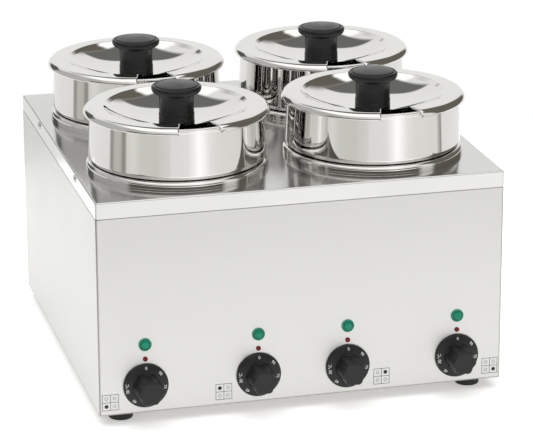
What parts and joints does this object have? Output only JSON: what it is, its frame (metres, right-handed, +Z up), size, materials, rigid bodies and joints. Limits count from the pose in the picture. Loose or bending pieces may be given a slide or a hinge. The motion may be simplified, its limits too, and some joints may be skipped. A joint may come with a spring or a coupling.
{
  "type": "soup kettle",
  "caption": "Electric countertop soup kettle: steel box with lift-out lidded pots hanging in heated wells, a temperature dial and pilot lamps for each pot, and rubber feet.",
  "frame": {"origin": "centre of the footprint, on the surface that the feet stand on", "axes": "+Z up, the control panel faces -Y, +X to the right when facing the panel"},
  "size_m": [0.5032, 0.5532, 0.382],
  "materials": {
    "casing_steel": "satin ground stainless sheet",
    "cover_steel": "semi-bright stainless sheet that mirrors the pots softly",
    "polished_steel": "mirror-polished stainless steel",
    "screw_steel": "plain stainless fasteners",
    "heater_sheath": "dull steel sheath",
    "copper_capillary": "bare copper tube",
    "wire_insulation": "silicone insulated wires",
    "block_plastic": "white moulded",
    "earth_brass": "bright brass",
    "gland_plastic": "black moulded",
    "red_lens": "clear red lens",
    "knob_plastic": "black moulded, satin",
    "dial_plastic": "black moulded, fine texture, white figures",
    "spindle_steel": "turned steel",
    "thermostat_moulding": "brown moulded housing",
    "green_lens": "clear green lens with its moulded ring",
    "foot_rubber": "black rubber"
  },
  "bodies": {
    "housing": {"base_plate": "casing_steel", "cable_gland": "gland_plastic", "casing_wrap": "casing_steel", "earth_terminal": "earth_brass", "foot_fasteners": "screw_steel", "foot_front_left": "foot_rubber", "foot_front_right": "foot_rubber", "foot_rear_left": "foot_rubber", "foot_rear_right": "foot_rubber", "gland_nut": "gland_plastic", "heater_bolts": "screw_steel", "heater_front_left": "heater_sheath", "heater_front_right": "heater_sheath", "heater_leads": "wire_insulation", "heater_rear_left": "heater_sheath", "heater_rear_right": "heater_sheath", "heating_lamps": "red_lens", "panel_screws": "screw_steel", "power_lamp_front_left": "green_lens", "power_lamp_front_right": "green_lens", "power_lamp_rear_left": "green_lens", "power_lamp_rear_right": "green_lens", "rear_panel": "casing_steel", "safety_cutouts": "heater_sheath", "terminal_block": "block_plastic", "thermostat_bulbs": "copper_capillary", "thermostat_front_left": "thermostat_moulding", "thermostat_front_right": "thermostat_moulding", "thermostat_rear_left": "thermostat_moulding", "thermostat_rear_right": "thermostat_moulding", "top_cover": "cover_steel", "well_front_left": "polished_steel", "well_front_right": "polished_steel", "well_rear_left": "polished_steel", "well_rear_right": "polished_steel", "wiring_loom": "wire_insulation"},
    "pot_body_front_left": {"pot_front_left": "polished_steel"},
    "lid_body_front_left": {"lid_front_left": "polished_steel", "lid_knob_front_left": "knob_plastic", "lid_screw_front_left": "screw_steel"},
    "dial_body_front_left": {"dial_front_left": "dial_plastic", "spindle_front_left": "spindle_steel"},
    "pot_body_front_right": {"pot_front_right": "polished_steel"},
    "lid_body_front_right": {"lid_front_right": "polished_steel", "lid_knob_front_right": "knob_plastic", "lid_screw_front_right": "screw_steel"},
    "dial_body_front_right": {"dial_front_right": "dial_plastic", "spindle_front_right": "spindle_steel"},
    "pot_body_rear_left": {"pot_rear_left": "polished_steel"},
    "lid_body_rear_left": {"lid_rear_left": "polished_steel", "lid_knob_rear_left": "knob_plastic", "lid_screw_rear_left": "screw_steel"},
    "dial_body_rear_left": {"dial_rear_left": "dial_plastic", "spindle_rear_left": "spindle_steel"},
    "pot_body_rear_right": {"pot_rear_right": "polished_steel"},
    "lid_body_rear_right": {"lid_rear_right": "polished_steel", "lid_knob_rear_right": "knob_plastic", "lid_screw_rear_right": "screw_steel"},
    "dial_body_rear_right": {"dial_rear_right": "dial_plastic", "spindle_rear_right": "spindle_steel"}
  },
  "joints": [
    {"name": "pot_lift_front_left", "type": "slide", "parent": "housing", "child": "pot_body_front_left", "axis": [0, 0, 1], "range_m": [0, 0.25]},
    {"name": "lid_lift_front_left", "type": "slide", "parent": "pot_body_front_left", "child": "lid_body_front_left", "axis": [0, 0, 1], "range_m": [0, 0.12]},
    {"name": "dial_turn_front_left", "type": "hinge", "parent": "housing", "child": "dial_body_front_left", "pos_m": [-0.1938, -0.245, 0.0492], "axis": [0, 1, 0], "range_deg": [0, 311]},
    {"name": "pot_lift_front_right", "type": "slide", "parent": "housing", "child": "pot_body_front_right", "axis": [0, 0, 1], "range_m": [0, 0.25]},
    {"name": "lid_lift_front_right", "type": "slide", "parent": "pot_body_front_right", "child": "lid_body_front_right", "axis": [0, 0, 1], "range_m": [0, 0.12]},
    {"name": "dial_turn_front_right", "type": "hinge", "parent": "housing", "child": "dial_body_front_right", "pos_m": [0.1938, -0.245, 0.0492], "axis": [0, 1, 0], "range_deg": [0, 311]},
    {"name": "pot_lift_rear_left", "type": "slide", "parent": "housing", "child": "pot_body_rear_left", "axis": [0, 0, 1], "range_m": [0, 0.25]},
    {"name": "lid_lift_rear_left", "type": "slide", "parent": "pot_body_rear_left", "child": "lid_body_rear_left", "axis": [0, 0, 1], "range_m": [0, 0.12]},
    {"name": "dial_turn_rear_left", "type": "hinge", "parent": "housing", "child": "dial_body_rear_left", "pos_m": [-0.0555, -0.245, 0.0492], "axis": [0, 1, 0], "range_deg": [0, 311]},
    {"name": "pot_lift_rear_right", "type": "slide", "parent": "housing", "child": "pot_body_rear_right", "axis": [0, 0, 1], "range_m": [0, 0.25]},
    {"name": "lid_lift_rear_right", "type": "slide", "parent": "pot_body_rear_right", "child": "lid_body_rear_right", "axis": [0, 0, 1], "range_m": [0, 0.12]},
    {"name": "dial_turn_rear_right", "type": "hinge", "parent": "housing", "child": "dial_body_rear_right", "pos_m": [0.0555, -0.245, 0.0492], "axis": [0, 1, 0], "range_deg": [0, 311]}
  ]
}
